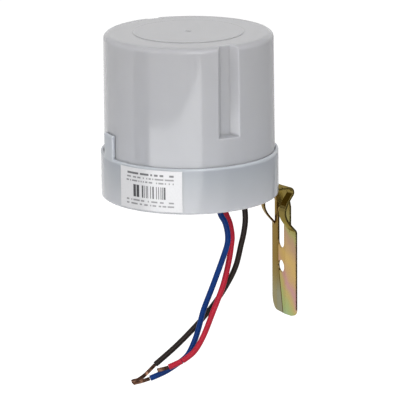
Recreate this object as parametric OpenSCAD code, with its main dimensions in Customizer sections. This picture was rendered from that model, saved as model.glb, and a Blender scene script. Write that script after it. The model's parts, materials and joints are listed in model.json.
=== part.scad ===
// Photocell switch with a drum housing, three flying leads and a stamped pole and wall bracket.
// The origin is the centre of the bracket's fixing hole, on the bracket's outer face.
// +X points out of the bracket, away from the housing, and +Z is up.

/* [Housing] */
// Outer diameter of the base ring
base_d = 82; // [76:0.5:100]
// Height of the base ring
base_h = 21.2; // [17:0.2:28]
// Height from the foot of the base to the top of the cap
body_h = 76; // [60:0.5:95]
// Step from the outside of the base ring in to the cap
ring_step = 1.55; // [1.2:0.05:2.5]
// Draft of the cap over its height, on the radius
cap_draft = 0.45; // [0:0.05:1.2]
// Rounding of the cap's top edge
cap_edge_r = 2.6; // [1.5:0.1:4]
// Wall of the cap
cap_wall = 2; // [1.4:0.1:2.6]
// Thickness of the base floor
floor_t = 2.5; // [2:0.1:4]
// Height of the shelf that carries the seal
shelf_h = 7; // [6:0.1:9]
// How far the shelf reaches in past the cap's wall
shelf_inset = 0.4; // [0.2:0.1:1]
// Play between the cap's skirt and the base ring
skirt_play = 0.15; // [0.1:0.05:0.3]
// Height of the seal under the cap's rim
seal_h = 1.5; // [1:0.1:2.5]

/* [Grip grooves] */
// Width of a groove at its mouth
groove_mouth = 11.9; // [8:0.1:14]
// Width of a groove's floor
groove_floor = 4.4; // [3:0.1:7]
// Depth of a groove
groove_depth = 4.2; // [2.5:0.1:5]
// Height of a groove's foot above the bottom of the base
groove_foot = 34.5; // [30:0.5:45]
// Drop of the sloping groove foot, from its back to its lip
groove_slope = 1; // [0:0.1:2]

/* [Cap details] */
// Diameter of the shallow step on the cap's top
crown_d = 51; // [40:0.5:60]
// Height of that step
crown_step = 0.3; // [0.2:0.05:0.6]
// Diameter of the moulding gate's stub
gate_d = 2.2; // [1.5:0.1:3]
// Height of that stub
gate_h = 0.25; // [0.1:0.05:0.5]

/* [Latches] */
// Width of a latch tab
latch_w = 9.2; // [7:0.1:12]
// Rise of a latch tab above the ring
latch_rise = 10.8; // [7:0.1:12]
// Bearing of the first latch tab, seen from above
latch_angle = 177.5; // [170:0.5:190]

/* [Circuit board] */
// Height of the board's lower face
board_z = 14; // [12:0.1:17]
// Thickness of the board
board_t = 1.6; // [1:0.1:2]
// Gap between the board's edge and the inside of the shelf
board_gap = 2.4; // [1.5:0.1:4]
// Diameter of the posts that carry the board
post_d = 6.6; // [5.5:0.1:9]
// Pilot bore in a post
post_bore = 2.6; // [2:0.1:3]
// Room between a post and the board's edge
post_margin = 0.6; // [0.4:0.1:1.5]
// Thread diameter of the board screws
board_screw_d = 2.5; // [2:0.1:3]
// Head diameter of the board screws
board_screw_head = 5.4; // [4:0.1:7]
// Head height of the board screws
board_screw_head_h = 1.8; // [1.4:0.1:2.4]
// Length of the board screws under their heads
board_screw_l = 6.5; // [5:0.1:8]
// Play of the board screws in the board's holes, on the diameter
board_hole_play = 0.5; // [0.2:0.1:0.8]

/* [Components] */
// Length of the relay
relay_l = 29; // [20:0.5:32]
// Width of the relay
relay_w = 12.7; // [10:0.1:16]
// Height of the relay
relay_h = 15.7; // [12:0.1:22]
// Length of the film capacitor
film_l = 18; // [13:0.5:22]
// Width of the film capacitor
film_w = 8.5; // [5:0.1:10]
// Height of the film capacitor
film_h = 15; // [10:0.5:20]
// Diameter of the electrolytic capacitor
can_d = 8; // [5:0.1:10]
// Height of the electrolytic capacitor
can_h = 12; // [8:0.5:18]
// Diameter of the varistor's disc
varistor_d = 10; // [7:0.5:12]
// Thickness of the varistor's disc
varistor_t = 4; // [3:0.1:6]
// Pitch of the varistor's leads
varistor_pitch = 5; // [4:0.5:7.5]
// Diameter of the light sensor
sensor_d = 5.1; // [4:0.1:8]
// Height of the light sensor's face above the board
sensor_rise = 26; // [15:0.5:32]

/* [Bracket] */
// Thickness of the sheet
sheet_t = 1; // [0.8:0.1:1.5]
// Width of the bracket
sheet_w = 22.6; // [20:0.2:28]
// Width of the flat middle web
web_w = 8; // [7.5:0.1:10]
// Angle at which each wing leans out, to seat on a round pole
wing_tilt = 12; // [0:0.5:20]
// Diameter of the fixing hole
hole_d = 6; // [4:0.1:6.5]
// Width of the slot
slot_w = 6; // [4:0.1:6.5]
// Height of the slot's lower end above the fixing hole's centre
slot_foot = 8.9; // [7:0.1:12]
// Height of the slot's upper end above the fixing hole's centre
slot_head = 28.9; // [24:0.1:31]
// Distance from the fixing hole's centre down to the end of the bracket
tail_l = 22.8; // [16:0.2:35]
// Corner radius at the end of the bracket, on the side of the leads
near_corner_r = 3.5; // [2:0.1:6]
// Corner radius at the end of the bracket, on the other side
far_corner_r = 6; // [2:0.1:7]
// Width of each bowed leg, beside the slotted middle strip
leg_w = 4; // [3:0.1:5]
// Gap lanced between each leg and the middle strip
lance_gap = 0.3; // [0.2:0.05:0.5]
// Angle at which a leg turns in towards the housing
leg_turn = 40; // [30:0.5:44]
// Height of the strap loop that the legs make, from its foot up to the bend
loop_h = 20.3; // [18:0.1:22]
// Lean of the sheet towards the housing over that height
lean = 1.5; // [1:0.1:2.5]
// Inner radius of the bends
bend_r = 1.8; // [1:0.1:3]
// Distance from the housing's axis to the middle of the web
reach = 48.5; // [46:0.5:60]
// Depth of the fixing hole's centre below the bottom of the base
hole_drop = 42.5; // [40:0.5:60]

/* [Bracket fastening] */
// Thread diameter of the bracket screw
screw_d = 5; // [4:0.1:6]
// Length of the bracket screw under its head
screw_l = 12; // [11:0.5:14]
// Head diameter of the bracket screw
screw_head_d = 9.5; // [8:0.1:11]
// Head height of the bracket screw
screw_head_h = 3.4; // [2.5:0.1:4]
// Radius of the dome on that head
screw_dome_r = 5.9; // [5.5:0.1:8]
// Width across the flats of the nut
nut_flats = 8; // [7:0.1:10]
// Height of the nut
nut_h = 4; // [3:0.1:5]
// Play of the nut in its socket, across the flats
nut_play = 0.2; // [0.1:0.05:0.4]
// Wall of that socket
nut_wall = 1.6; // [1.2:0.1:2.5]
// Thickness of the spring washer
washer_t = 1.2; // [0.8:0.1:1.6]
// Step from the screw's head in to the washer's edge
washer_step = 0.3; // [0.1:0.1:0.8]
// Width of the split in the washer
washer_split = 0.8; // [0.4:0.1:1.2]
// Height of the pad under the base
pad_h = 1.2; // [0.8:0.1:2]
// Margin of that pad around the bracket's foot
pad_margin = 1; // [0.5:0.1:2]
// Play of the nut's bore round the screw, on the diameter
thread_play = 0.1; // [0.05:0.05:0.3]
// Play of the screw in its holes
screw_play = 0.3; // [0.15:0.05:0.5]

/* [Leads] */
// Diameter over a lead's insulation
wire_d = 2.7; // [2:0.1:3.2]
// Diameter of a lead's bared strands
strand_d = 1.8; // [1.2:0.1:2]
// Diameter of a lead bush in the base floor
bush_d = 5; // [4.2:0.1:6]
// Width of the flange of a lead bush
bush_flange = 0.8; // [0.5:0.1:1]
// Thickness of that flange
bush_flange_t = 0.9; // [0.6:0.1:1.2]
// Play of a bush in its hole, and of a lead in its bush, on the diameter
bush_play = 0.2; // [0.1:0.05:0.3]

/* [Label] */
// Width of the label along the ring
label_w = 32; // [20:0.5:40]
// Thickness of the label
label_t = 0.12; // [0.1:0.01:0.3]
// Height of the label's lower edge above the bottom of the base
label_foot = 1.1; // [1:0.1:2]
// Depth of the label's upper edge below the top of the ring
label_head = 1.1; // [1:0.1:6]
// Bearing of the label's middle, seen from above
label_angle = 215.5; // [200:0.5:230]

/* [Hidden] */
$fn = 96;
// Lap of two shapes that are joined into one piece
eps = 0.01;
// Overrun of a cut past the face that it opens
over = 1;

// Housing sizes that follow from the values above
base_r = base_d / 2;
cap_r = base_r - ring_step;
cap_top_r = cap_r - cap_draft;
shelf_r = cap_r - cap_wall - shelf_inset;
rim_z = shelf_h + seal_h;
board_r = shelf_r - board_gap;
board_top = board_z + board_t;
seal_play = 0.1;
ring_in = cap_r + skirt_play;
base_edge_r = 0.8;
crown_z = body_h - crown_step;
latch_turn = latch_w / base_r * 180 / PI;
label_turn = label_w / base_r * 180 / PI;
label_h = base_h - label_foot - label_head;
inner_edge_r = 0.6;

// Posts under the board, as bearings about the axis
post_bearings = [60, 180, 300];
post_at = board_r - post_d / 2 - post_margin;
board_hole_d = board_screw_d + board_hole_play;
pilot_room = 2;
pilot_l = board_screw_l - board_t + pilot_room;

// Places of the components on the board, about the housing's axis
post_gap = 1.7;
film_at = [7, post_at * sin(post_bearings[0]) - board_screw_head / 2 - post_gap - film_w / 2];
relay_at = [-15, 4];
can_at = [16, 2];
varistor_at = [23, 12];
sensor_at = [3, 2];
transistor_at = [6, -7];
diodes_at = [24, -14];
diode_pitch = 4.2;
zener_at = [14, -9];
resistors_at = [-6, -17];
resistor_pitch = 4;
lead_pitch = 1.27;

// Bracket sizes that follow, in the frame of the fixing hole
axis_x = -reach - sheet_t / 2;
web_x = -sheet_t / 2;
foot_top = hole_drop - pad_h;
foot_mid = foot_top - sheet_t / 2;
fold_r = bend_r + sheet_t / 2;
fold_z = foot_mid - fold_r;
bow_z = fold_z - loop_h;
mid_w = sheet_w - 2 * leg_w;
// Lap of web and wing past the line where they meet
wing_lap = 0.05;
steps = 14;
bend_steps = 5;
foot_lap = 3;
// Span and depth of the arch between a leg's two turns
arch_x = -fold_r * (1 - cos(leg_turn));
arch_z = bow_z + fold_r * sin(leg_turn);
arch_h = loop_h - 2 * fold_r * sin(leg_turn);
arch_depth = arch_h * tan(leg_turn) / PI;
// Height at which the middle strip starts to lean, as a share of the loop
knee_share = 0.6;
knee_z = bow_z + knee_share * loop_h;
// Ends of the lanced cuts, just past the loop
lance_lap = 0.3;
lance_foot = bow_z - lance_lap;
lance_head = fold_z + lance_lap;

// Lead bushes in the base floor: blue, red, black, about the housing's axis
bush_flange_d = bush_d + 2 * bush_flange;
bush_gap = 0.75;
blue_bush = [2.3, -23.3];
red_bush = blue_bush + (bush_flange_d + bush_gap) * unit([5.1, 5.3]);
bush_at = [blue_bush, red_bush, [18, -18.5]];

// Routes of the leads about the foot of the housing's axis, from below their bushes to the bared ends
blue_route = [[2.8, -23.6, -3.6], [3.5, -24, -6.3], [5, -24.8, -9.4], [6, -25.3, -14.4], [6.1, -24.9, -19.5],
    [5, -23.2, -25.7], [3.1, -20.7, -34.1], [1.3, -18.3, -41.9], [-1.6, -15.3, -52.8], [-3.1, -13.6, -61],
    [-5, -12.5, -68], [-8.1, -11, -75], [-12.8, -8.6, -79.5], [-17.6, -6.1, -83], [-23.5, -3.1, -86]];
red_route = [[7.6, -18.1, -3], [8, -18.4, -4.8], [9, -18.9, -8], [10.3, -19.6, -12], [11.1, -20, -18],
    [10.4, -20.2, -23.4], [9.5, -20.3, -28.3], [7.3, -20.8, -35.9], [4.9, -21, -42.6], [0.6, -20.2, -53.2],
    [-3.6, -18.9, -64], [-7.5, -17, -71.5], [-12.3, -14.5, -76]];
black_route = [[18, -19, -4], [18.2, -19.7, -7.5], [18.1, -20, -12], [17.4, -19.7, -17.5], [16.3, -19.1, -23],
    [14, -17.9, -33.5], [9.7, -15.7, -43.3], [4.4, -13, -52.3], [-2.3, -9.5, -61.6], [-10.9, -5.1, -71.7],
    [-19.5, -0.6, -80.5]];
blue_bare = [[-23.8, -2.9, -86.2], [-26, -1.9, -87], [-28.5, -0.6, -87.8], [-31, 0.6, -88.2]];
red_bare = [[-18.3, -11.3, -79.2], [-20.5, -10.2, -79.9], [-22.8, -9, -80.6]];
black_bare = [[-19.8, -0.4, -80.8], [-22, 0.9, -83.6], [-24.5, 2.3, -86.4], [-27, 3.6, -88.2],
    [-29.5, 4.8, -89]];
red_sleeve_route = [[-12.6, -14.3, -76.2], [-15, -13, -77.5], [-18, -11.5, -79]];

// Colours as the photograph shows them
plastic = [0.80, 0.81, 0.83];
zinc = [0.72, 0.60, 0.36];
copper = [0.36, 0.20, 0.13];

// Catmull-Rom point between the second and third of four points
function blend(p, t) = 0.5 * (2 * p[1] + (p[2] - p[0]) * t
    + (2 * p[0] - 5 * p[1] + 4 * p[2] - p[3]) * t * t
    + (3 * p[1] - p[0] - 3 * p[2] + p[3]) * t * t * t);
function at(route, i) = route[max(0, min(len(route) - 1, i))];
function four(route, i) = [at(route, i - 1), at(route, i), at(route, i + 1), at(route, i + 2)];
function smooth(route, n) = concat(
    [for (i = [0 : len(route) - 2], k = [0 : n - 1]) blend(four(route, i), k / n)],
    [route[len(route) - 1]]);
function unit(v) = v / norm(v);
function heading(path, i) = unit(at(path, i + 1) - at(path, i - 1));
// Rings stand square to the path, set by a direction that no lead runs along
across = [0.43, 0.9, 0.02];
function ring_side(path, i) = unit(cross(heading(path, i), across));
function ring(path, i, r, sides) = let (h = heading(path, i), u = ring_side(path, i), w = cross(h, u))
    [for (k = [0 : sides - 1]) path[i] + r * (u * cos(360 * k / sides) + w * sin(360 * k / sides))];

// Places its children at the foot of the housing's axis
module housing() {
    translate([axis_x, 0, hole_drop]) children();
}

// A closed tube swept along a route
module tube(route, d) {
    path = smooth(route, 2);
    sides = 8;
    last = len(path) - 1;
    points = [for (i = [0 : last]) each ring(path, i, d / 2, sides)];
    walls = [for (i = [0 : last - 1], k = [0 : sides - 1])
        let (a = i * sides, b = a + sides, m = (k + 1) % sides)
        each [[a + k, a + m, b + m], [a + k, b + m, b + k]]];
    start = [[for (k = [sides - 1 : -1 : 0]) k]];
    end = [[for (k = [0 : sides - 1]) last * sides + k]];
    polyhedron(points, concat(start, walls, end));
}

// Outer form of the cap: a drafted drum with a rounded top edge and a shallow crown
module cap_drum(inset) {
    r_low = cap_r - inset;
    r_high = cap_top_r - inset;
    edge = max(cap_edge_r - inset, inner_edge_r);
    top = crown_z - inset;
    foot = inset > 0 ? rim_z - over : rim_z;
    rotate_extrude() {
        polygon([[0, foot], [r_low, foot], [r_high, top - edge], [r_high - edge, top - edge],
            [r_high - edge, top], [0, top]]);
        intersection() {
            translate([r_high - edge, top - edge]) circle(edge);
            translate([r_high - edge, top - edge]) square(edge);
        }
    }
}

// One grip groove, grown by a wall thickness where it is the rib inside the cap
module groove(grow) {
    flare = (groove_mouth - groove_floor) / 2 / groove_depth;
    back = cap_r - groove_depth - grow;
    half_floor = groove_floor / 2 + grow * (sqrt(1 + flare * flare) - flare);
    out = groove_depth + grow + over;
    half_mouth = half_floor + flare * out;
    foot = groove_foot - grow;
    lip = foot - groove_slope;
    difference() {
        translate([0, 0, lip - over]) linear_extrude(body_h)
            polygon([[back, -half_floor], [back + out, -half_mouth], [back + out, half_mouth],
                [back, half_floor]]);
        // Sloping foot of the groove
        translate([back, body_h / 2, 0]) rotate([90, 0, 0]) linear_extrude(body_h)
            polygon([[-over, lip - 2 * over], [out + over, lip - 2 * over], [out + over, lip], [0, foot],
                [-over, foot]]);
    }
}

module grooves(grow) {
    for (turn = [90, 270]) {
        rotate([0, 0, turn]) groove(grow);
    }
}

module cap() {
    color(plastic, 0.85) housing() {
        difference() {
            cap_drum(0);
            grooves(0);
            difference() {
                cap_drum(cap_wall);
                grooves(cap_wall);
            }
        }
        translate([0, 0, crown_z - eps]) cylinder(h = crown_step + eps, d = crown_d);
        translate([0, 0, body_h - eps]) cylinder(h = gate_h + eps, d = gate_d);
    }
}

// What rounding the outer edge of a section takes away, at its top (side 1) or bottom (side -1)
module edge_cut(z, side) {
    e = base_edge_r;
    translate([base_r - e, z - side * e]) difference() {
        translate([0, side > 0 ? 0 : -e - over]) square(e + over);
        circle(e);
    }
}

// Section of the base: floor, shelf for the seal and outer ring
module base_section() {
    difference() {
        union() {
            square([base_r, floor_t]);
            translate([shelf_r, 0]) square([base_r - shelf_r, shelf_h]);
            translate([ring_in, 0]) square([base_r - ring_in, base_h]);
        }
        edge_cut(0, -1);
        edge_cut(base_h, 1);
    }
}

// A wedge about the axis that reaches past a radius
module wedge(turn, r) {
    polygon([[0, 0], [r + over, -(r + over) * tan(turn / 2)], [r + over, (r + over) * tan(turn / 2)]]);
}

// Tabs that stand up from the ring, two pieces cut from a taller ring
module latch_tabs() {
    tab_foot = shelf_h;
    tab_head = base_h + latch_rise;
    intersection() {
        rotate_extrude() difference() {
            translate([ring_in, tab_foot]) square([base_r - ring_in, tab_head - tab_foot]);
            edge_cut(tab_head, 1);
        }
        for (side = [0, 180]) {
            rotate([0, 0, latch_angle + side]) linear_extrude(tab_head + over) wedge(latch_turn, base_r + over);
        }
    }
}

module board_posts() {
    for (turn = post_bearings) {
        rotate([0, 0, turn]) translate([post_at, 0, 0]) difference() {
            translate([0, 0, floor_t - eps]) cylinder(h = board_z - floor_t + eps, d = post_d);
            translate([0, 0, board_z - pilot_l]) cylinder(h = pilot_l + over, d = post_bore);
        }
    }
}

// Socket that keeps the nut from turning
module nut_socket() {
    socket_d = (nut_flats + nut_play) / cos(30);
    translate([0, 0, floor_t - eps]) difference() {
        cylinder(h = nut_h + eps, d = socket_d + 2 * nut_wall);
        translate([0, 0, -over]) cylinder(h = nut_h + 3 * over, d = socket_d, $fn = 6);
    }
}

module base() {
    color(plastic) housing() {
        difference() {
            union() {
                rotate_extrude() base_section();
                latch_tabs();
                // Pad that the bracket's foot is clamped to
                translate([0, 0, -pad_h]) cylinder(h = pad_h + eps, d = sheet_w + 2 * pad_margin);
            }
            translate([0, 0, -pad_h - over])
                cylinder(h = floor_t + pad_h + 2 * over, d = screw_d + 2 * screw_play);
            for (p = bush_at) {
                translate([p.x, p.y, -over]) cylinder(h = floor_t + 2 * over, d = bush_d);
            }
        }
        board_posts();
        nut_socket();
    }
}

module seal_ring() {
    color([0.25, 0.25, 0.26]) housing() translate([0, 0, shelf_h]) difference() {
        cylinder(h = seal_h, r = cap_r - seal_play);
        translate([0, 0, -over]) cylinder(h = seal_h + 2 * over, r = shelf_r + seal_play);
    }
}

module label() {
    color("white") housing() rotate([0, 0, label_angle]) translate([0, 0, label_foot])
        intersection() {
            difference() {
                cylinder(h = label_h, r = base_r + label_t);
                translate([0, 0, -over]) cylinder(h = label_h + 2 * over, r = base_r);
            }
            translate([0, 0, -over]) linear_extrude(label_h + 2 * over) wedge(label_turn, base_r + label_t);
        }
}

module circuit_board() {
    color([0.62, 0.46, 0.26]) housing() translate([0, 0, board_z]) difference() {
        cylinder(h = board_t, r = board_r);
        for (turn = post_bearings) {
            rotate([0, 0, turn]) translate([post_at, 0, -over])
                cylinder(h = board_t + 2 * over, d = board_hole_d);
        }
    }
}

// Cross recess, sunk into a screw's head from above
module cross_recess(l, w, depth) {
    for (turn = [0, 90]) {
        rotate([0, 0, turn]) translate([-l / 2, -w / 2, -depth]) cube([l, w, depth + over]);
    }
}

module board_screws() {
    color([0.7, 0.7, 0.68]) housing() for (turn = post_bearings) {
        rotate([0, 0, turn]) translate([post_at, 0, board_top]) {
            translate([0, 0, -board_screw_l]) cylinder(h = board_screw_l + eps, d = board_screw_d);
            difference() {
                cylinder(h = board_screw_head_h, d = board_screw_head);
                translate([0, 0, board_screw_head_h]) cross_recess(l = 3.2, w = 0.8, depth = 0.9);
            }
        }
    }
}

// Places its children on the board's upper face
module on_board(place, turn) {
    housing() translate([place.x, place.y, board_top]) rotate([0, 0, turn]) children();
}

module relay() {
    vent_d = 1.6;
    vent_in = 3;
    vent_depth = 0.5;
    chamfer = 1.2;
    color([0.13, 0.14, 0.16]) on_board(relay_at, 90) difference() {
        translate([-relay_l / 2, -relay_w / 2, 0]) cube([relay_l, relay_w, relay_h]);
        // Vent dimple and the chamfered end that marks the coil's pins
        translate([relay_l / 2 - vent_in, relay_w / 2 - vent_in, relay_h - vent_depth])
            cylinder(h = vent_depth + over, d = vent_d);
        translate([-relay_l / 2, 0, relay_h]) rotate([0, 45, 0])
            cube([chamfer, relay_w + 2 * over, chamfer], center = true);
    }
}

module film_capacitor() {
    rib = 2;
    rib_h = 0.4;
    color([0.78, 0.62, 0.20]) on_board(film_at, 0) difference() {
        translate([-film_l / 2, -film_w / 2, 0]) cube([film_l, film_w, film_h]);
        // Standing ribs moulded on the box's foot
        translate([-film_l / 2 + rib, -film_w, -over]) cube([film_l - 2 * rib, 2 * film_w, rib_h + over]);
    }
}

module electrolytic_capacitor() {
    crimp_z = 1.4;
    crimp_r = 0.5;
    color([0.12, 0.16, 0.32]) on_board(can_at, 0) difference() {
        cylinder(h = can_h, d = can_d);
        // Vent scored across the top
        translate([0, 0, can_h]) cross_recess(l = can_d, w = 0.3, depth = 0.3);
        // Crimp groove above the rubber bung
        translate([0, 0, crimp_z]) rotate_extrude() translate([can_d / 2, 0]) circle(crimp_r);
    }
}

// A component's round lead wire, standing on the board
module pin(x, h, d) {
    translate([x, 0, 0]) cylinder(h = h, d = d, $fn = 24);
}

module varistor() {
    lift = 3;
    lead_d = 0.8;
    color([0.20, 0.36, 0.62]) on_board(varistor_at, 60) {
        translate([0, varistor_t / 2, lift + varistor_d / 2]) rotate([90, 0, 0])
            cylinder(h = varistor_t, d = varistor_d);
        for (side = [-1, 1]) {
            pin(side * varistor_pitch / 2, lift + varistor_d / 2, lead_d);
        }
    }
}

module light_sensor() {
    disc_t = 2;
    flats = 4.3;
    lead_d = 0.6;
    color([0.80, 0.52, 0.36]) on_board(sensor_at, 30) {
        translate([0, 0, sensor_rise - disc_t]) intersection() {
            cylinder(h = disc_t, d = sensor_d);
            translate([-sensor_d, -flats / 2, -over]) cube([2 * sensor_d, flats, disc_t + 2 * over]);
        }
        for (side = [-1, 1]) {
            pin(side * lead_pitch, sensor_rise - disc_t + eps, lead_d);
        }
    }
}

module transistor() {
    case_d = 4.6;
    case_h = 4.6;
    flat_at = 1.3;
    lift = 2.2;
    lead_d = 0.5;
    color([0.10, 0.10, 0.11]) on_board(transistor_at, 0) {
        translate([0, 0, lift]) intersection() {
            cylinder(h = case_h, d = case_d);
            translate([-case_d, -flat_at, -over]) cube([2 * case_d, case_d, case_h + 2 * over]);
        }
        for (side = [-1 : 1]) {
            pin(side * lead_pitch, lift + eps, lead_d);
        }
    }
}

// An axial component lying on the board, with its two leads bent down
module axial(l, d, lead_d, pitch) {
    up = d / 2;
    translate([-l / 2, 0, up]) rotate([0, 90, 0]) cylinder(h = l, d = d, $fn = 48);
    translate([-pitch / 2, 0, up]) rotate([0, 90, 0]) cylinder(h = pitch, d = lead_d, $fn = 24);
    for (x = [-pitch / 2, pitch / 2]) {
        pin(x, up + lead_d / 2, lead_d);
    }
}

module rectifier_diodes() {
    color([0.11, 0.11, 0.12]) for (i = [0 : 3]) {
        on_board(diodes_at + [0, diode_pitch * i], 0)
            axial(l = 5.2, d = 2.7, lead_d = 0.8, pitch = 8.6);
    }
}

module zener_diode() {
    color([0.72, 0.42, 0.26]) on_board(zener_at, 90)
        axial(l = 4, d = 2, lead_d = 0.5, pitch = 7);
}

module resistors() {
    color([0.72, 0.60, 0.44]) for (i = [0 : 2]) {
        on_board(resistors_at + [resistor_pitch * i, 0], 90)
            axial(l = 6.3, d = 2.4, lead_d = 0.6, pitch = 10);
    }
}

// Places on the face of the sheet that lies a distance s outside its middle: a leg's turn out of the plate,
// its arch and the bend into the foot
function turn_in(a, s) = [-fold_r + (fold_r + s) * cos(a), bow_z + (fold_r + s) * sin(a)];
function arch(t, s) = let (slope = lean + PI * arch_depth * cos(180 * t))
    [arch_x - lean * t - arch_depth * sin(180 * t), arch_z + arch_h * t] + s * unit([arch_h, slope]);
function bend(a, s) = [-lean - fold_r + (fold_r + s) * cos(a), fold_z + (fold_r + s) * sin(a)];
// That face from the tail to the foot, along a leg and along the middle strip
function foot_face(s) = concat([for (i = [1 : bend_steps]) bend(90 * i / bend_steps, s)],
    [[-lean - fold_r - foot_lap, foot_mid + s]]);
function leg_face(s) = concat([[s, -tail_l]],
    [for (i = [0 : bend_steps]) turn_in(leg_turn * i / bend_steps, s)],
    [for (i = [1 : steps - 1]) arch(i / steps, s)],
    [for (i = [0 : bend_steps]) bend(-leg_turn * (1 - i / bend_steps), s)], foot_face(s));
function mid_face(s) = concat([[s, -tail_l], [s, knee_z], bend(0, s)], foot_face(s));
function reverse(list) = [for (i = [len(list) - 1 : -1 : 0]) list[i]];
leg_outline = concat(leg_face(sheet_t / 2), reverse(leg_face(-sheet_t / 2)));
mid_outline = concat(mid_face(sheet_t / 2), reverse(mid_face(-sheet_t / 2)));

// A strip of the sheet, extruded across the bracket, and squeezed where it runs at a slant
module strip_run(outline, width, squeeze) {
    rotate([90, 0, 0]) linear_extrude(width, center = true) polygon([for (p = outline) [p.x * squeeze, p.y]]);
}

// Part of a wing between two distances from the middle, carried outward as it leaves the web
module wing(outline, from, to) {
    intersection() {
        translate([0, web_w / 2, 0]) rotate([0, 0, -wing_tilt])
            strip_run(outline, 2 * sheet_w, cos(wing_tilt));
        translate([-reach, from, -2 * tail_l]) cube([2 * reach, to - from, 4 * (tail_l + hole_drop)]);
    }
}

// Rounded tail outline, as what is cut away at one lower corner
module tail_corner(side, r) {
    translate([reach, side * (sheet_w / 2 - r), -tail_l + r]) rotate([0, -90, 0]) linear_extrude(2 * reach)
        difference() {
            translate([-r - over, side > 0 ? 0 : -r - over]) square(r + over);
            circle(r);
        }
}

module bracket_foot() {
    back = reach - lean - fold_r - foot_lap + over;
    translate([axis_x, 0, foot_top - sheet_t]) linear_extrude(sheet_t) {
        circle(d = sheet_w);
        translate([0, -sheet_w / 2]) square([back, sheet_w]);
    }
}

module slot() {
    low = slot_foot + slot_w / 2;
    high = slot_head - slot_w / 2;
    translate([-reach, -slot_w / 2, low]) cube([2 * reach, slot_w, high - low]);
    for (z = [low, high]) {
        translate([-reach, 0, z]) rotate([0, 90, 0]) cylinder(h = 2 * reach, d = slot_w);
    }
}

// Cuts that part the legs from the middle strip
module lances() {
    for (side = [-1, 1]) {
        translate([-reach, side * mid_w / 2 - lance_gap / 2, lance_foot])
            cube([2 * reach, lance_gap, lance_head - lance_foot]);
    }
}

module bracket() {
    color(zinc) difference() {
        union() {
            translate([web_x, 0, 0]) difference() {
                union() {
                    strip_run(mid_outline, web_w + 2 * wing_lap, 1);
                    for (side = [0, 1]) {
                        mirror([0, side, 0]) {
                            wing(mid_outline, web_w / 2 - wing_lap, mid_w / 2);
                            wing(leg_outline, mid_w / 2, sheet_w / 2);
                        }
                    }
                }
                slot();
                lances();
                tail_corner(-1, near_corner_r);
                tail_corner(1, far_corner_r);
            }
            bracket_foot();
        }
        translate([-sheet_w, 0, 0]) rotate([0, 90, 0]) cylinder(h = 2 * sheet_w, d = hole_d);
        translate([axis_x, 0, foot_top - sheet_t - over])
            cylinder(h = sheet_t + 2 * over, d = screw_d + 2 * screw_play);
    }
}

module bracket_screw() {
    head_top = -pad_h - sheet_t - washer_t;
    color([0.74, 0.72, 0.66]) housing() {
        translate([0, 0, head_top - eps]) cylinder(h = screw_l + eps, d = screw_d);
        difference() {
            rotate_extrude() translate([0, head_top]) intersection() {
                translate([0, -screw_head_h]) square([screw_head_d / 2, screw_head_h]);
                translate([0, screw_dome_r - screw_head_h]) circle(screw_dome_r);
            }
            translate([0, 0, head_top - screw_head_h]) mirror([0, 0, 1])
                cross_recess(l = 4.6, w = 1.1, depth = 1.6);
        }
    }
}

module bracket_nut() {
    color([0.74, 0.72, 0.66]) housing() translate([0, 0, floor_t]) difference() {
        cylinder(h = nut_h, d = nut_flats / cos(30), $fn = 6);
        translate([0, 0, -over]) cylinder(h = nut_h + 2 * over, d = screw_d + thread_play);
    }
}

module spring_washer() {
    color([0.45, 0.45, 0.44]) housing() translate([0, 0, -pad_h - sheet_t - washer_t]) difference() {
        cylinder(h = washer_t, d = screw_head_d - 2 * washer_step);
        translate([0, 0, -over]) cylinder(h = washer_t + 2 * over, d = screw_d + screw_play);
        // Split
        translate([0, -washer_split / 2, -over]) cube([screw_head_d, washer_split, washer_t + 2 * over]);
    }
}

module lead_bushes() {
    color([0.16, 0.16, 0.17]) housing() for (p = bush_at) {
        translate([p.x, p.y, 0]) difference() {
            union() {
                cylinder(h = floor_t, d = bush_d - bush_play);
                for (z = [-bush_flange_t, floor_t]) {
                    translate([0, 0, z]) cylinder(h = bush_flange_t, d = bush_flange_d);
                }
            }
            translate([0, 0, -bush_flange_t - over])
                cylinder(h = floor_t + 2 * (bush_flange_t + over), d = wire_d + bush_play);
        }
    }
}

// A lead, from the board straight down through its bush and then along its route
module lead(i, route) {
    mouth = -bush_flange_t;
    drop = [for (z = [board_z, (board_z + floor_t) / 2, floor_t, mouth]) [bush_at[i].x, bush_at[i].y, z]];
    tube(concat(drop, route), wire_d);
}

module blue_lead() {
    color([0.03, 0.16, 0.50]) housing() lead(0, blue_route);
}

module red_lead() {
    color([0.76, 0.17, 0.26]) housing() lead(1, red_route);
}

module black_lead() {
    color([0.17, 0.14, 0.13]) housing() lead(2, black_route);
}

module blue_strands() {
    color(copper) housing() tube(blue_bare, strand_d);
}

module red_strands() {
    color(copper) housing() tube(red_bare, strand_d);
}

module black_strands() {
    color(copper) housing() tube(black_bare, strand_d);
}

module red_sleeve() {
    color([0.76, 0.17, 0.26]) housing() tube(red_sleeve_route, wire_d);
}

cap();
base();
seal_ring();
label();
circuit_board();
board_screws();
relay();
film_capacitor();
electrolytic_capacitor();
varistor();
light_sensor();
transistor();
rectifier_diodes();
zener_diode();
resistors();
bracket();
bracket_screw();
bracket_nut();
spring_washer();
lead_bushes();
blue_lead();
red_lead();
black_lead();
blue_strands();
red_strands();
black_strands();
red_sleeve();
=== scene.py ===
# Looks of a photocell switch: finishes, hanging leads, label print, studio floor and camera.
# Everything is in metres, in the frame of the model: the origin is the bracket's fixing hole.

import json
import math

import bpy
from mathutils import Matrix, Vector


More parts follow.
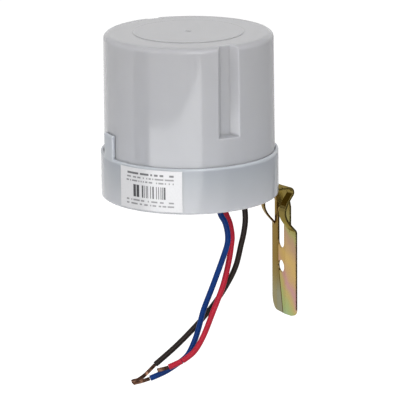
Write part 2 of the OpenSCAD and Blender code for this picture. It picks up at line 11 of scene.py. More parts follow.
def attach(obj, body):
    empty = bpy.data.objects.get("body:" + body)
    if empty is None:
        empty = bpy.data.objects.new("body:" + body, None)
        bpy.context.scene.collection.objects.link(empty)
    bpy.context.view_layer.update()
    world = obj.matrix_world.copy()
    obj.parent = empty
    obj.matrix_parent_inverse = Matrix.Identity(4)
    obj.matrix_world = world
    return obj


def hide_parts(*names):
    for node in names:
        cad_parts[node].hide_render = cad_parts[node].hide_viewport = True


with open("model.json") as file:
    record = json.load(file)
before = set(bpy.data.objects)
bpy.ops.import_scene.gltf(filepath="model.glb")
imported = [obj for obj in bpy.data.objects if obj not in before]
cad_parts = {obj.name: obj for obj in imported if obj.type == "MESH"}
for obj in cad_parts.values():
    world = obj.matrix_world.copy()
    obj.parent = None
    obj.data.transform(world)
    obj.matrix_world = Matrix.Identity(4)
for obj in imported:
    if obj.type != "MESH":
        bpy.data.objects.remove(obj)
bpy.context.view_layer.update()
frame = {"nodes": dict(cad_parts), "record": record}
nodes = frame["nodes"]
MM = 0.001


# Reference places

# Foot of the housing's axis, at the bottom of the base
FOOT = Vector((-49.0, 0.0, 42.5)) * MM
BASE_R = 41.0 * MM
# Label on the ring: the bearing of its middle about the axis, its width and height, and its upper edge
LABEL_BEARING = math.radians(215.5 - 360.0)
LABEL_W = 32.0
LABEL_H = 19.0
LABEL_TOP = FOOT.z + 20.1 * MM
# Turn of the photograph's view about the housing's axis
VIEW_TURN = math.radians(27.3)
RIGHT = Vector((math.cos(VIEW_TURN), -math.sin(VIEW_TURN), 0.0))
AWAY = Vector((math.sin(VIEW_TURN), math.cos(VIEW_TURN), 0.0))
UP = Vector((0.0, 0.0, 1.0))


def place(right, away, up):
    """A point given in millimetres to the right, away and up from the foot, as the camera sees it."""
    return FOOT + (RIGHT * right + AWAY * away + UP * up) * MM


def link(obj):
    bpy.context.scene.collection.objects.link(obj)
    return obj


# Camera

CAMERA_BACK = 1330.0
CAMERA_UP = 350.0
AIM_RIGHT = 4.54
AIM_DOWN = 3.80
CAMERA_ROLL = math.radians(0.6)
LENS = 267.33


def make_camera():
    data = bpy.data.cameras.new("camera")
    data.lens = LENS
    data.sensor_width = 36.0
    data.clip_start = 0.1
    data.clip_end = 20.0
    camera = link(bpy.data.objects.new("camera", data))
    camera.location = place(0.0, -CAMERA_BACK, CAMERA_UP)
    ahead = (FOOT - camera.location).normalized()
    above = RIGHT.cross(ahead)
    aim = FOOT + (RIGHT * AIM_RIGHT - above * AIM_DOWN) * MM
    turn = (aim - camera.location).to_track_quat("-Z", "Y").to_matrix()
    camera.rotation_euler = (turn @ Matrix.Rotation(-CAMERA_ROLL, 3, "Z")).to_euler()
    bpy.context.scene.camera = camera


make_camera()


# Material helpers

def shader(name, values):
    """A new material and its surface shader, with constant values set on the shader's own sockets."""
    material = bpy.data.materials.new(name)
    material.use_nodes = True
    bsdf = material.node_tree.nodes["Principled BSDF"]
    for key, value in values.items():
        bsdf.inputs[key].default_value = value
    return material, bsdf


def add(material, kind, inputs=None, **settings):
    """A node of a material, with its settings and constant inputs."""
    node = material.node_tree.nodes.new(kind)
    for key, value in settings.items():
        setattr(node, key, value)
    for key, value in (inputs or {}).items():
        node.inputs[key].default_value = value
    return node


def wire(material, source, target):
    material.node_tree.links.new(source, target)


def coordinates(material, scale=(1.0, 1.0, 1.0)):
    """Object coordinates, which are the frame's own metres, scaled."""
    source = add(material, "ShaderNodeTexCoord")
    mapping = add(material, "ShaderNodeMapping", {"Scale": scale})
    wire(material, source.outputs["Object"], mapping.inputs["Vector"])
    return mapping.outputs["Vector"]


def axes(material, vector):
    """The X, Y and Z of a vector."""
    node = add(material, "ShaderNodeSeparateXYZ")
    wire(material, vector, node.inputs["Vector"])
    return [node.outputs[axis] for axis in "XYZ"]


def noise(material, vector, scale, detail=3.0, roughness=0.5, distortion=0.0):
    node = add(material, "ShaderNodeTexNoise", {"Scale": scale, "Detail": detail, "Roughness": roughness,
                                                "Distortion": distortion})
    wire(material, vector, node.inputs["Vector"])
    return node.outputs["Fac"]


def ramp(material, factor, stops):
    """Colours along a factor, given as (position, colour) pairs."""
    node = add(material, "ShaderNodeValToRGB")
    elements = node.color_ramp.elements
    while len(elements) < len(stops):
        elements.new(0.5)
    for element, (position, colour) in zip(elements, stops):
        element.position = position
        element.color = (*colour, 1.0)
    wire(material, factor, node.inputs["Fac"])
    return node.outputs["Color"]


def mottle(material, tone, low, high):
    """Two colours mixed by a noise, most of whose values lie between 0.3 and 0.7."""
    return ramp(material, tone, [(0.3, low), (0.7, high)])


def mix(material, factor, first, second):
    """A blend of two colours, each a socket or a constant."""
    node = add(material, "ShaderNodeMix", data_type="RGBA")
    wire(material, factor, node.inputs["Factor"])
    for key, colour in (("A", first), ("B", second)):
        if isinstance(colour, tuple):
            node.inputs[key].default_value = (*colour, 1.0)
        else:
            wire(material, colour, node.inputs[key])
    return node.outputs["Result"]


def spread(material, factor, low, high):
    """A factor from 0 to 1, carried to the range from low to high."""
    node = add(material, "ShaderNodeMapRange", {"To Min": low, "To Max": high})
    wire(material, factor, node.inputs["Value"])
    return node.outputs["Result"]


def progress(material, value, low, high):
    """How far a value lies on the way from low to high, from 0 to 1."""
    node = add(material, "ShaderNodeMapRange", {"From Min": low, "From Max": high})
    wire(material, value, node.inputs["Value"])
    return node.outputs["Result"]


def figure(material, operation, first, second=None):
    """The result of a calculation on sockets or numbers."""
    node = add(material, "ShaderNodeMath", operation=operation)
    for socket, value in zip(node.inputs, (first, second)):
        if isinstance(value, (int, float)):
            socket.default_value = value
        elif value is not None:
            wire(material, value, socket)
    return node.outputs[0]


def inside(material, value, low, high):
    """1 where a value lies between two bounds."""
    return figure(material, "MULTIPLY", figure(material, "GREATER_THAN", value, low),
                  figure(material, "LESS_THAN", value, high))


def bump(material, bsdf, height, strength, distance, edge=0.0):
    """A fine relief, over edges that are rounded off by a radius where one is given."""
    node = add(material, "ShaderNodeBump", {"Strength": strength, "Distance": distance})
    if edge:
        rounded = add(material, "ShaderNodeBevel", {"Radius": edge}, samples=6)
        wire(material, rounded.outputs["Normal"], node.inputs["Normal"])
    wire(material, height, node.inputs["Height"])
    wire(material, node.outputs["Normal"], bsdf.inputs["Normal"])


# How much finer the relief of a plain finish is than its mottling
RELIEF_FINENESS = 6.0


def varied(name, low, high, grain, rough, metallic=0.0):
    """A plain finish with a mottled colour between two tones, uneven gloss and a fine grain."""
    material, bsdf = shader(name, {"Metallic": metallic})
    vector = coordinates(material)
    tone = noise(material, vector, scale=grain)
    wire(material, mottle(material, tone, low, high), bsdf.inputs["Base Color"])
    wire(material, spread(material, tone, *rough), bsdf.inputs["Roughness"])
    relief = noise(material, vector, scale=grain * RELIEF_FINENESS)
    bump(material, bsdf, relief, strength=0.2, distance=0.02 * MM)
    return material


# Materials of the housing

# How far the clouds in the moulding shift its tones
CLOUD_SHIFT = 0.08
CAP_TOP = 76.0 * MM
CAP_TONES = [(0.0, (0.435, 0.445, 0.475)), (1.0, (0.42, 0.42, 0.435))]
# Painted shade and highlight: the ring darkens upwards as painted shade under the cap, and its thin rim and latch
# tabs are pale again as a painted highlight
BASE_TOP = 21.2 * MM
BASE_TONES_AND_PAINTED_SHADE = [(0.0, (0.505, 0.515, 0.54)), (0.97, (0.347, 0.369, 0.403)), (1.0, (0.44, 0.465, 0.505))]


def housing_plastic(name, tones, reach):
    """Translucent white moulding, with its tones at shares of the way from its foot up to a given height; the
    base's tones hold painted shade and a painted highlight.
    """
    material, bsdf = shader(name, {"IOR": 1.49, "Specular IOR Level": 0.32, "Subsurface Weight": 0.8,
                                   "Subsurface Scale": 4.0 * MM, "Subsurface Radius": (1.0, 1.0, 1.1)})
    vector = coordinates(material)
    _, _, z = axes(material, vector)
    level = progress(material, z, FOOT.z, FOOT.z + reach)
    clouds = noise(material, vector, scale=60.0, detail=2.0)
    clouded = figure(material, "ADD", figure(material, "MULTIPLY", clouds, CLOUD_SHIFT), level)
    # For the base, this ramp paints shade darkening up the ring and a highlight on its rim and latch tabs
    wire(material, ramp(material, clouded, tones), bsdf.inputs["Base Color"])
    wire(material, spread(material, clouds, low=0.06, high=0.10), bsdf.inputs["Roughness"])
    grain = noise(material, vector, scale=900.0, detail=2.0)
    bump(material, bsdf, grain, strength=0.06, distance=0.02 * MM, edge=0.9 * MM)
    return material


# Plain print of the label's own, as shares of its width and height from its upper left corner: even rows of broken
# dashes with their bounds, dash length in millimetres and ink, and a block of bars in the middle
LABEL_ROWS = [(0.12, 0.88, 0.10, 0.15, 0.9, 0.85), (0.12, 0.88, 0.20, 0.24, 0.6, 0.65),
              (0.12, 0.88, 0.29, 0.33, 0.6, 0.65), (0.12, 0.88, 0.76, 0.80, 0.6, 0.65),
              (0.12, 0.88, 0.85, 0.89, 0.6, 0.65)]
BAR_BLOCK = (0.24, 0.76, 0.40, 0.70)
BAR_WIDTH = 0.36
BAR_INK = 0.97
BAR_GAPS = 0.42
BAR_SEED = 7.0
DASH_GAPS = 0.30
DASH_SEED_STEP = 40.0
PAPER_LOW = (0.585, 0.585, 0.60)
PAPER_HIGH = (0.625, 0.625, 0.64)
INK = (0.035, 0.035, 0.04)


def broken(material, across, pitch, seed, gaps):
    """Bars of one pitch across the label with a share of gaps, drawn at random but the same each time."""
    step = figure(material, "FLOOR", figure(material, "DIVIDE", across, pitch))
    draw = add(material, "ShaderNodeTexWhiteNoise", noise_dimensions="1D")
    wire(material, figure(material, "ADD", step, seed), draw.inputs["W"])
    return figure(material, "GREATER_THAN", draw.outputs["Value"], gaps)


def label_ink(material, vector):
    """How much ink lies at a place of the label."""
    x, y, z = axes(material, vector)
    bearing = figure(material, "ARCTAN2", y, figure(material, "SUBTRACT", x, FOOT.x))
    turn = figure(material, "SUBTRACT", bearing, LABEL_BEARING)
    across = figure(material, "ADD", figure(material, "MULTIPLY", turn, BASE_R / MM), LABEL_W / 2)
    share = figure(material, "DIVIDE", across, LABEL_W)
    down = figure(material, "DIVIDE", figure(material, "SUBTRACT", LABEL_TOP, z), LABEL_H * MM)
    low, high, top, foot = BAR_BLOCK
    block = figure(material, "MULTIPLY", inside(material, share, low, high), inside(material, down, top, foot))
    bars = figure(material, "MULTIPLY", block, broken(material, across, BAR_WIDTH, BAR_SEED, BAR_GAPS))
    ink = figure(material, "MULTIPLY", bars, BAR_INK)
    for number, (low, high, top, foot, dash, depth) in enumerate(LABEL_ROWS):
        row = figure(material, "MULTIPLY", inside(material, share, low, high), inside(material, down, top, foot))
        dashes = broken(material, across, dash, DASH_SEED_STEP * number, DASH_GAPS)
        dashes = figure(material, "MULTIPLY", row, dashes)
        ink = figure(material, "MAXIMUM", ink, figure(material, "MULTIPLY", dashes, depth))
    return ink


def label_paper():
    """Coated paper with a faint fibre and a plain print of bars and dashes, which spells nothing."""
    material, bsdf = shader("label_paper", {"Roughness": 0.30})
    vector = coordinates(material)
    fibre = noise(material, vector, scale=1500.0, detail=4.0)
    paper = mottle(material, fibre, PAPER_LOW, PAPER_HIGH)
    printed = mix(material, label_ink(material, vector), paper, INK)
    wire(material, printed, bsdf.inputs["Base Color"])
    bump(material, bsdf, fibre, strength=0.05, distance=0.02 * MM)
    return material


# Material of the bracket

# Colours of the chromate along its slanting bands, with their places in millimetres
CHROMATE = [(-24.0, (0.17, 0.13, 0.04)), (-18.0, (0.28, 0.26, 0.10)), (-14.0, (0.34, 0.22, 0.14)),
            (-8.0, (0.44, 0.30, 0.11)), (-3.0, (0.41, 0.27, 0.13)), (0.5, (0.40, 0.22, 0.21)),
            (4.0, (0.38, 0.30, 0.12)), (8.0, (0.28, 0.33, 0.14)), (12.0, (0.24, 0.32, 0.20)),
            (16.0, (0.33, 0.27, 0.11))]
CHROMATE_SLANT = math.radians(40.0)
CHROMATE_WANDER = 4.0 * MM
# The fold line past which the bracket's far side is painted dull, as a painted reflection: its place beside the
# hole, its slant below that, and the half width, upper end and colour of its dark line, which is painted shade
# along the crease
FOLD_Y = 2.35 * MM
FOLD_SLANT = 0.185
PAINTED_CREASE_HALF_WIDTH = 0.35 * MM
PAINTED_CREASE_TOP = 2.0 * MM
PAINTED_CREASE_SHADE = (0.07, 0.045, 0.018)
# Painted reflection: the far wing is painted grey below and brown above, between two heights, for the darker
# surroundings it faces
PAINTED_REFLECTION_FOOT = -14.0 * MM
PAINTED_REFLECTION_TOP = 2.0 * MM
FAR_WING_PAINTED_REFLECTION = [(0.0, (0.22, 0.22, 0.16)), (0.5, (0.19, 0.15, 0.07)), (1.0, (0.18, 0.115, 0.04))]
# Scale of the rolled grain, which runs up the sheet
ROLLED_GRAIN = (900.0, 900.0, 90.0)


def zinc_plate():
    """Yellow chromate on zinc, with slanting gold, pink and green bands, a far wing painted dull as a painted
    reflection, a dark line of painted shade along the crease, and a rolled grain.
    """
    material, bsdf = shader("zinc_plate", {"Metallic": 1.0, "Specular Tint": (0.68, 0.60, 0.44, 1.0)})
    vector = coordinates(material)
    _, y, z = axes(material, vector)
    slant = figure(material, "SUBTRACT", figure(material, "MULTIPLY", y, math.cos(CHROMATE_SLANT)),
                   figure(material, "MULTIPLY", z, math.sin(CHROMATE_SLANT)))
    drift = noise(material, vector, scale=130.0, detail=2.0, roughness=0.45, distortion=0.4)
    wander = figure(material, "ADD", slant, spread(material, drift, -CHROMATE_WANDER, CHROMATE_WANDER))
    first, last = CHROMATE[0][0], CHROMATE[-1][0]
    bands = ramp(material, progress(material, wander, first * MM, last * MM),
                 [((at - first) / (last - first), colour) for at, colour in CHROMATE])
    # Painted reflection on the far wing: brown above, grey below
    painted_reflection = ramp(material, progress(material, z, PAINTED_REFLECTION_FOOT, PAINTED_REFLECTION_TOP), FAR_WING_PAINTED_REFLECTION)
    below = figure(material, "MINIMUM", z, 0.0)
    fold = figure(material, "ADD", figure(material, "MULTIPLY", below, FOLD_SLANT), FOLD_Y)
    past = figure(material, "SUBTRACT", y, fold)
    # Past the fold line the chromate bands give way to the painted reflection
    plate = mix(material, figure(material, "GREATER_THAN", past, 0.0), bands, painted_reflection)
    # Painted shade: a dark line along the crease, low down
    painted_crease_band = figure(material, "LESS_THAN", figure(material, "ABSOLUTE", past), PAINTED_CREASE_HALF_WIDTH)
    low_down = figure(material, "LESS_THAN", z, PAINTED_CREASE_TOP)
    with_painted_crease = mix(material, figure(material, "MULTIPLY", painted_crease_band, low_down), plate, PAINTED_CREASE_SHADE)
    wire(material, with_painted_crease, bsdf.inputs["Base Color"])
    grain = noise(material, coordinates(material, ROLLED_GRAIN), scale=1.0, detail=3.0)
    wire(material, spread(material, grain, low=0.16, high=0.26), bsdf.inputs["Roughness"])
    bump(material, bsdf, grain, strength=0.08, distance=0.02 * MM, edge=0.25 * MM)
    return material


# Materials of the leads

def insulation(name, colour, deep):
    """Soft insulation, with a fine relief and uneven gloss."""
    material, bsdf = shader(name, {"IOR": 1.5, "Specular IOR Level": 0.10})
    vector = coordinates(material)
    tone = noise(material, vector, scale=220.0)
    wire(material, mottle(material, tone, deep, colour), bsdf.inputs["Base Color"])
    wire(material, spread(material, tone, low=0.26, high=0.36), bsdf.inputs["Roughness"])
    bump(material, bsdf, noise(material, vector, scale=1400.0), strength=0.08, distance=0.03 * MM)
    return material


# Tarnished, middling and bright copper
COPPER_TONES = [(0.34, (0.022, 0.010, 0.006)), (0.54, (0.085, 0.038, 0.022)), (0.74, (0.42, 0.23, 0.15))]


def copper_strands():
    """Bare copper, tarnished in places."""
    material, bsdf = shader("copper_strands", {"Metallic": 0.85})
    vector = coordinates(material)
    tone = noise(material, vector, scale=420.0, detail=4.0)
    wire(material, ramp(material, tone, COPPER_TONES), bsdf.inputs["Base Color"])
    wire(material, spread(material, tone, low=0.55, high=0.35), bsdf.inputs["Roughness"])
    bump(material, bsdf, noise(material, vector, scale=2500.0), strength=0.15, distance=0.02 * MM)
    return material


# Paler and deeper colour of each lead's insulation
INSULATION = {
    "blue_pvc": ((0.001, 0.030, 0.165), (0.001, 0.023, 0.13)),
    "red_pvc": ((0.42, 0.016, 0.036), (0.36, 0.012, 0.028)),
    "black_pvc": ((0.020, 0.013, 0.011), (0.014, 0.009, 0.008)),
}
# Other finishes: two tones, the scale of their mottling, the range of roughness, and 1 for a metal
PLAIN_FINISHES = {
    "seal_rubber": ((0.030, 0.030, 0.032), (0.050, 0.050, 0.053), 700.0, (0.7, 0.9)),
    "bush_rubber": ((0.012, 0.012, 0.013), (0.024, 0.024, 0.026), 600.0, (0.5, 0.7)),
    "board_laminate": ((0.22, 0.13, 0.05), (0.30, 0.19, 0.08), 400.0, (0.4, 0.55)),
    "screw_steel": ((0.48, 0.48, 0.46), (0.62, 0.62, 0.60), 500.0, (0.25, 0.4), 1.0),
    "bolt_steel": ((0.50, 0.49, 0.46), (0.66, 0.65, 0.62), 450.0, (0.22, 0.38), 1.0),
    "nut_steel": ((0.50, 0.49, 0.46), (0.66, 0.65, 0.62), 450.0, (0.25, 0.4), 1.0),
    "washer_steel": ((0.16, 0.16, 0.155), (0.26, 0.26, 0.25), 500.0, (0.35, 0.5), 1.0),
    "relay_case": ((0.012, 0.013, 0.015), (0.020, 0.022, 0.025), 800.0, (0.4, 0.55)),
    "film_case": ((0.46, 0.28, 0.03), (0.54, 0.36, 0.05), 500.0, (0.25, 0.4)),
    "can_sleeve": ((0.012, 0.018, 0.06), (0.020, 0.028, 0.09), 300.0, (0.22, 0.35)),
    "varistor_coat": ((0.03, 0.09, 0.28), (0.05, 0.13, 0.36), 350.0, (0.25, 0.45)),
    "sensor_ceramic": ((0.48, 0.22, 0.10), (0.58, 0.30, 0.16), 900.0, (0.12, 0.25)),
    "transistor_case": ((0.010, 0.010, 0.011), (0.018, 0.018, 0.020), 900.0, (0.45, 0.6)),
    "diode_case": ((0.010, 0.010, 0.011), (0.020, 0.020, 0.022), 900.0, (0.4, 0.55)),
    "zener_glass": ((0.40, 0.12, 0.04), (0.52, 0.18, 0.07), 600.0, (0.05, 0.12)),
    "resistor_coat": ((0.40, 0.28, 0.14), (0.50, 0.36, 0.20), 700.0, (0.35, 0.5)),
}
MATERIALS = {
    "cap_plastic": housing_plastic("cap_plastic", CAP_TONES, CAP_TOP),
    "base_plastic": housing_plastic("base_plastic", BASE_TONES_AND_PAINTED_SHADE, BASE_TOP),
    "label_paper": label_paper(),
    "zinc_plate": zinc_plate(),
    "copper_strands": copper_strands(),
}
MATERIALS.update({slot: insulation(slot, *tones) for slot, tones in INSULATION.items()})
MATERIALS.update({slot: varied(slot, *finish) for slot, finish in PLAIN_FINISHES.items()})


def finish_with(piece, slot):
    """Gives a piece its slot's material."""
    piece.data.materials.clear()
    piece.data.materials.append(MATERIALS[slot])
    return piece


for subpart in frame["record"]["subparts"]:
    finish_with(nodes[subpart["node"]], subpart["material_slot"])


# Leads

WIRE_D = 2.7 * MM
# Heights of a lead on its way from the board down through its bush
DROP_HEIGHTS = (14.0, 8.25, 2.5, -0.9)
BUSHES = {"blue": (2.3, -23.3), "red": (7.396, -18.004), "black": (18.0, -18.5)}
# Routes about the foot of the housing's axis, in millimetres, from below the bush to the bared end
BLUE_ROUTE = [(2.8, -23.6, -3.6), (3.5, -24, -6.3), (5, -24.8, -9.4), (6, -25.3, -14.4), (6.1, -24.9, -19.5),
              (5, -23.2, -25.7), (3.1, -20.7, -34.1), (1.3, -18.3, -41.9), (-1.6, -15.3, -52.8),
              (-3.1, -13.6, -61), (-5, -12.5, -68), (-8.1, -11, -75), (-12.8, -8.6, -79.5), (-17.6, -6.1, -83),
              (-23.5, -3.1, -86)]
RED_ROUTE = [(7.6, -18.1, -3), (8, -18.4, -4.8), (9, -18.9, -8), (10.3, -19.6, -12), (11.1, -20, -18),
             (10.4, -20.2, -23.4), (9.5, -20.3, -28.3), (7.3, -20.8, -35.9), (4.9, -21, -42.6),
             (0.6, -20.2, -53.2), (-3.6, -18.9, -64), (-7.5, -17, -71.5), (-12.3, -14.5, -76)]
BLACK_ROUTE = [(18, -19, -4), (18.2, -19.7, -7.5), (18.1, -20, -12), (17.4, -19.7, -17.5), (16.3, -19.1, -23),
               (14, -17.9, -33.5), (9.7, -15.7, -43.3), (4.4, -13, -52.3), (-2.3, -9.5, -61.6),
               (-10.9, -5.1, -71.7), (-19.5, -0.6, -80.5)]
BLUE_BARE = [(-23.8, -2.9, -86.2), (-26, -1.9, -87), (-28.5, -0.6, -87.8), (-31, 0.6, -88.2)]
RED_BARE = [(-18.3, -11.3, -79.2), (-20.5, -10.2, -79.9), (-22.8, -9, -80.6)]
BLACK_BARE = [(-19.8, -0.4, -80.8), (-22, 0.9, -83.6), (-24.5, 2.3, -86.4), (-27, 3.6, -88.2),
              (-29.5, 4.8, -89)]
RED_SLEEVE = [(-12.6, -14.3, -76.2), (-15, -13, -77.5), (-18, -11.5, -79)]


def in_frame(route):
    """Points about the foot of the axis, in millimetres, as points of the frame."""
    return [FOOT + Vector(point) * MM for point in route]


def tangent(points, i):
    """Direction of the smooth line at one of its points."""
    return (points[min(i + 1, len(points) - 1)] - points[max(i - 1, 0)]) / 2


def smooth_spline(curve, points, radius):
    """A spline through the points, along the same smooth line as smooth_point gives."""
    spline = curve.splines.new("BEZIER")
    spline.bezier_points.add(len(points) - 1)
    for i, (knot, point) in enumerate(zip(spline.bezier_points, points)):
        step = tangent(points, i) / 3
        knot.co = point
        knot.handle_left = point - step
        knot.handle_right = point + step
        knot.radius = radius


def tube(name, lines, diameter, roundness, steps):
    """A curve object that sweeps a round section along each line."""
    curve = bpy.data.curves.new(name, "CURVE")
    curve.dimensions = "3D"
    curve.bevel_depth = 1.0
    curve.bevel_resolution = roundness
    curve.resolution_u = steps
    curve.use_fill_caps = True
    for line in lines:
        smooth_spline(curve, line, diameter / 2)
    return link(bpy.data.objects.new(name, curve))


def smooth_point(points, t):
    """The point at a share t of the way along the smooth line through the points."""
    at = min(t * (len(points) - 1), len(points) - 1 - 1e-6)
    i = int(at)
    s = at - i
    p0, p1, p2, p3 = (points[max(0, min(len(points) - 1, i + k))] for k in (-1, 0, 1, 2))
    return 0.5 * (2 * p1 + (p2 - p0) * s + (2 * p0 - 5 * p1 + 4 * p2 - p3) * s ** 2
                  + (3 * p1 - p0 - 3 * p2 + p3) * s ** 3)


STRAND_D = 0.36 * MM
# Rings of strands in a bundle: how many, and their distance from its middle
STRAND_RINGS = [(1, 0.0), (6, 0.36 * MM), (12, 0.71 * MM)]
STRAND_PITCH = 9.0 * MM
STRAND_KNOTS = 13
# Most that a strand flares out and falls short at its cut end, as shares
STRAND_FLARE = 0.35
STRAND_SHORT = 0.10
# Steps, from strand to strand and from ring to ring, of the angle whose sine makes them uneven
UNEVEN_STRAND = 7.3
UNEVEN_RING = 3.1
# Share of a route over which a strand's direction is taken, to each side
DIRECTION_REACH = 0.02


def strand_line(points, length, turn, out, flare, short):
    """One strand, twisted round the bundle's middle and flaring a little at its cut end."""
    line = []
    for k in range(STRAND_KNOTS):
        t = k / (STRAND_KNOTS - 1) * (1.0 - short)
        middle = smooth_point(points, t)
        before, after = max(0.0, t - DIRECTION_REACH), min(1.0, t + DIRECTION_REACH)
        ahead = (smooth_point(points, after) - smooth_point(points, before)).normalized()
        side = ahead.cross(AWAY).normalized()
        angle = turn + 2 * math.pi * t * length / STRAND_PITCH
        spread_out = out * (1.0 + flare * t ** 3)
        line.append(middle + (side * math.cos(angle) + ahead.cross(side) * math.sin(angle)) * spread_out)
    return line


def strand_bundle(name, route):
    """The bared end of a lead: twisted strands of uneven length."""
    points = in_frame(route)
    length = sum((b - a).length for a, b in zip(points, points[1:]))
    lines = []
    for count, out in STRAND_RINGS:
        for k in range(count):
            uneven = 0.5 + 0.5 * math.sin(UNEVEN_STRAND * k + UNEVEN_RING * count)
            lines.append(strand_line(points, length, 2 * math.pi * k / count, out, STRAND_FLARE * uneven,
                                     STRAND_SHORT * uneven))
    return tube(name, lines, STRAND_D, roundness=2, steps=4)


def insulated(name, points):
    """A run of a lead's insulation."""
    return tube(name, [points], WIRE_D, roundness=6, steps=8)


def ride_for(piece, node, slot):
    """A piece that stands for a node and moves with the part."""
    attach(piece, "root")
    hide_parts(node)
    return finish_with(piece, slot)


def make_lead(colour, route, bare):
    """A lead from the board through its bush to its bared end, with the pieces that are on it."""
    drop = [(*BUSHES[colour], z) for z in DROP_HEIGHTS]
    points = in_frame(drop + route)
    lead = ride_for(insulated(colour + "_wire", points), colour + "_lead", colour + "_pvc")
    strands = ride_for(strand_bundle(colour + "_copper", bare), colour + "_strands", "copper_strands")


red_stub = ride_for(insulated("red_stub", in_frame(RED_SLEEVE)), "red_sleeve", "red_pvc")
make_lead("blue", BLUE_ROUTE, BLUE_BARE)
make_lead("red", RED_ROUTE, RED_BARE)
make_lead("black", BLACK_ROUTE, BLACK_BARE)


# Studio

FLOOR_DROP = 200.0
FLOOR_HALF = 6.0
FLOOR_TONE = 0.80
FLOOR_GLOW = 0.70
WORLD_LIGHT = 0.38


def seen_rays(tree):
    """1 for rays from the camera, from a gloss or through glass, which see a white studio."""
    path = tree.nodes.new("ShaderNodeLightPath")
    total = path.outputs["Is Camera Ray"]
    for name in ("Is Glossy Ray", "Is Transmission Ray"):
        most = tree.nodes.new("ShaderNodeMath")
        most.operation = "MAXIMUM"
        tree.links.new(total, most.inputs[0])
        tree.links.new(path.outputs[name], most.inputs[1])
        total = most.outputs[0]
    return total


def make_floor():
    mesh = bpy.data.meshes.new("floor")
    z = FOOT.z - FLOOR_DROP * MM
    corners = [(-FLOOR_HALF, -FLOOR_HALF, z), (FLOOR_HALF, -FLOOR_HALF, z), (FLOOR_HALF, FLOOR_HALF, z),
               (-FLOOR_HALF, FLOOR_HALF, z)]
    mesh.from_pydata(corners, [], [(0, 1, 2, 3)])
    floor = link(bpy.data.objects.new("floor", mesh))
    material, bsdf = shader("floor", {"Roughness": 0.9, "Specular IOR Level": 0.0,
                                      "Base Color": (FLOOR_TONE, FLOOR_TONE, FLOOR_TONE, 1.0),
                                      "Emission Color": (1.0, 1.0, 1.0, 1.0)})
    glow = figure(material, "MULTIPLY", seen_rays(material.node_tree), FLOOR_GLOW)
    wire(material, glow, bsdf.inputs["Emission Strength"])
    mesh.materials.append(material)


def make_world():
    world = bpy.data.worlds.new("studio")
    world.use_nodes = True
    bpy.context.scene.world = world
    tree = world.node_tree
    level = tree.nodes.new("ShaderNodeMapRange")
    level.inputs["To Min"].default_value = WORLD_LIGHT
    level.inputs["To Max"].default_value = 1.0
    tree.links.new(seen_rays(tree), level.inputs["Value"])
    tree.links.new(level.outputs["Result"], tree.nodes["Background"].inputs["Strength"])
    tree.nodes["Background"].inputs["Color"].default_value = (1.0, 1.0, 1.0, 1.0)


def area_lamp(name, width, height, radiance, centre, across, upward):
    """A soft box in millimetres whose face has a given radiance. It shines the opposite way of across x upward."""
    data = bpy.data.lights.new(name, "AREA")
    data.shape = "RECTANGLE"
    data.size = width * MM
    data.size_y = height * MM
    data.energy = radiance * math.pi * data.size * data.size_y
    lamp = link(bpy.data.objects.new(name, data))
    across = across.normalized()
    facing = across.cross(upward).normalized()
    lamp.matrix_world = Matrix.Translation(centre) @ Matrix(
        (across, facing.cross(across), facing)).transposed().to_4x4()
    lamp.visible_camera = False
    return lamp


# Soft boxes aimed at a place of the housing: width, height, radiance and place
LAMP_AIM = (0.0, 0.0, 40.0)
SOFT_BOXES = {
    # Above the camera on the right, for the rim and the groove's corners
    "key": (500.0, 400.0, 8.0, (430.0, -1200.0, 900.0)),
    # Large and overhead in front, for the rounded rim
    "overhead": (900.0, 700.0, 1.7, (150.0, -880.0, 930.0)),
    # In front, for the walls more than the top
    "front": (600.0, 400.0, 5.2, (250.0, -1280.0, 330.0)),
    # Wide on the left, out of the gloss
    "fill": (800.0, 800.0, 2.1, (-800.0, -600.0, 600.0)),
}
# Low reflector in front, which stands as a bright band in the gloss of the housing, between two ends
REFLECTOR_LEFT = (-236.0, -185.0, -60.0)
REFLECTOR_RIGHT = (117.0, -407.0, -46.0)
REFLECTOR_W = 417.0
REFLECTOR_H = 80.0
REFLECTOR_RADIANCE = 4.0


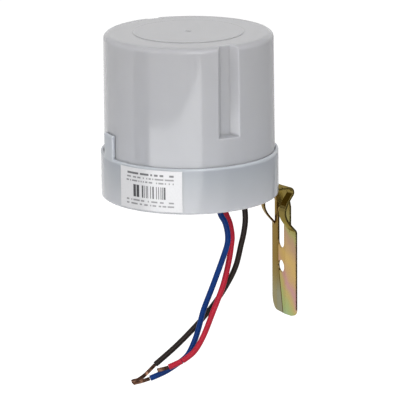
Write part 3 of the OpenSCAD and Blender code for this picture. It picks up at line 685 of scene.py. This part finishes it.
def soft_box(name, width, height, radiance, at):
    """A soft box that faces the housing."""
    centre = place(*at)
    facing = (centre - place(*LAMP_AIM)).normalized()
    across = UP.cross(facing)
    return area_lamp(name, width, height, radiance, centre, across, facing.cross(across))


def make_lamps():
    lamps = {name: soft_box(name, *box) for name, box in SOFT_BOXES.items()}
    lamps["fill"].visible_glossy = False
    left, right = place(*REFLECTOR_LEFT), place(*REFLECTOR_RIGHT)
    reflector = area_lamp("reflector", REFLECTOR_W, REFLECTOR_H, REFLECTOR_RADIANCE, (left + right) / 2,
                          right - left, UP)
    reflector.visible_diffuse = False


CARD_FOOT = -195.0
CARD_MIDDLE = -105.0
CARD_TOP = 60.0
CARD_DARK = 0.02
# Ends of the cards, to the right and away
LEFT_SIDE = [(-400.0, -100.0), (-325.0, -255.0)]
RIGHT_SIDE = [(350.0, -350.0), (330.0, 380.0)]
BEHIND = [(330.0, 380.0), (80.0, 500.0)]


def make_card(name, places, foot, top, tone):
    """An upright card along some places, seen only in the gloss of the object."""
    mesh = bpy.data.meshes.new(name)
    corners = [place(*at, foot) for at in places] + [place(*at, top) for at in places]
    count = len(places)
    mesh.from_pydata(corners, [], [(k, k + 1, k + 1 + count, k + count) for k in range(count - 1)])
    card = link(bpy.data.objects.new(name, mesh))
    material, _ = shader(name, {"Base Color": (tone, tone, tone, 1.0), "Specular IOR Level": 0.0})
    mesh.materials.append(material)
    for rays in ("camera", "diffuse", "shadow"):
        setattr(card, "visible_" + rays, False)


def make_cards():
    # Dark beside the reflector and low on the right, grey above that on the right and behind
    make_card("card_left", LEFT_SIDE, CARD_FOOT, CARD_TOP, CARD_DARK)
    make_card("card_right_low", RIGHT_SIDE, CARD_FOOT, CARD_MIDDLE, CARD_DARK)
    make_card("card_right", RIGHT_SIDE, CARD_MIDDLE, CARD_TOP, 0.80)
    make_card("card_behind", BEHIND, CARD_FOOT, CARD_TOP, 0.70)


make_floor()
make_world()
make_lamps()
make_cards()

bpy.context.scene.view_settings.view_transform = "Standard"
